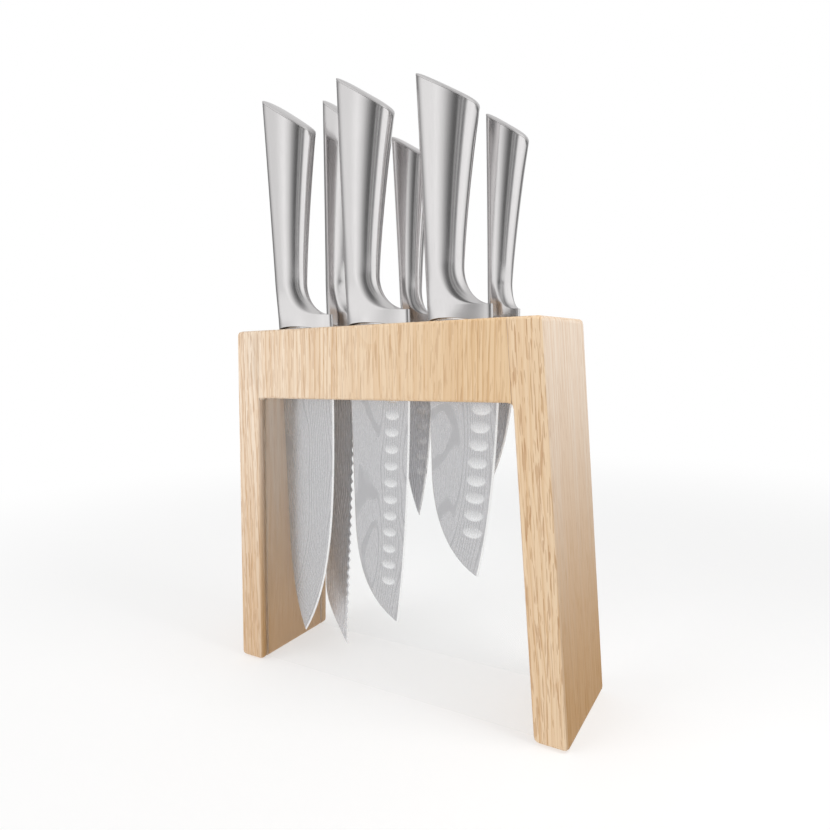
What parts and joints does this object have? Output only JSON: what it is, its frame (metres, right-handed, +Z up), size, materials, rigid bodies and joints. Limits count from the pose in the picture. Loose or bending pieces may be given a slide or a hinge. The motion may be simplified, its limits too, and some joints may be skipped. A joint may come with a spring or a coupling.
{
  "type": "knife block with knives",
  "caption": "Bridge-shaped wooden stand: a slotted beam on two splayed legs holds steel kitchen knives upright in two rows, with clear panels closing the blade bay.",
  "frame": {"origin": "on the floor under the middle of the block", "axes": "+Z up along the knives, +X along the block towards the knives' cutting edges, +Y to the back row"},
  "size_m": [0.2256, 0.068, 0.3609],
  "materials": {
    "oak_leg": "oiled oak, satin",
    "oak_beam": "oiled oak, satin",
    "dowel_beech": "plain beech",
    "clear_acrylic": "clear polished acrylic",
    "pad_rubber": "matt",
    "blade_steel": "satin with a layered pattern",
    "handle_steel": "fine lengthways brushing",
    "cap_steel": "satin"
  },
  "bodies": {
    "block": {"left_leg": "oak_leg", "right_leg": "oak_leg", "beam_front_board": "oak_beam", "beam_middle_board": "oak_beam", "beam_rear_board": "oak_beam", "left_front_dowel": "dowel_beech", "left_middle_dowel": "dowel_beech", "left_rear_dowel": "dowel_beech", "right_front_dowel": "dowel_beech", "right_middle_dowel": "dowel_beech", "right_rear_dowel": "dowel_beech", "front_panel": "clear_acrylic", "rear_panel": "clear_acrylic", "front_left_foot_pad": "pad_rubber", "front_right_foot_pad": "pad_rubber", "rear_left_foot_pad": "pad_rubber", "rear_right_foot_pad": "pad_rubber"},
    "chefs_knife": {"chefs_blade": "blade_steel", "chefs_handle": "handle_steel", "chefs_butt_cap": "cap_steel"},
    "large_santoku_knife": {"large_santoku_blade": "blade_steel", "large_santoku_handle": "handle_steel", "large_santoku_butt_cap": "cap_steel"},
    "small_santoku_knife": {"small_santoku_blade": "blade_steel", "small_santoku_handle": "handle_steel", "small_santoku_butt_cap": "cap_steel"},
    "bread_knife": {"bread_blade": "blade_steel", "bread_handle": "handle_steel", "bread_butt_cap": "cap_steel"},
    "utility_knife": {"utility_blade": "blade_steel", "utility_handle": "handle_steel", "utility_butt_cap": "cap_steel"},
    "paring_knife": {"paring_blade": "blade_steel", "paring_handle": "handle_steel", "paring_butt_cap": "cap_steel"}
  },
  "joints": [
    {"name": "chefs_lift", "type": "slide", "parent": "block", "child": "chefs_knife", "axis": [0, 0, 1], "range_m": [0, 0.21]},
    {"name": "large_santoku_lift", "type": "slide", "parent": "block", "child": "large_santoku_knife", "axis": [0, 0, 1], "range_m": [0, 0.19]},
    {"name": "small_santoku_lift", "type": "slide", "parent": "block", "child": "small_santoku_knife", "axis": [0, 0, 1], "range_m": [0, 0.153]},
    {"name": "bread_lift", "type": "slide", "parent": "block", "child": "bread_knife", "axis": [0.0593, 0, 0.9982], "range_m": [0, 0.227]},
    {"name": "utility_lift", "type": "slide", "parent": "block", "child": "utility_knife", "axis": [0, 0, 1], "range_m": [0, 0.129]},
    {"name": "paring_lift", "type": "slide", "parent": "block", "child": "paring_knife", "axis": [0.0279, 0, 0.9996], "range_m": [0, 0.101]}
  ]
}
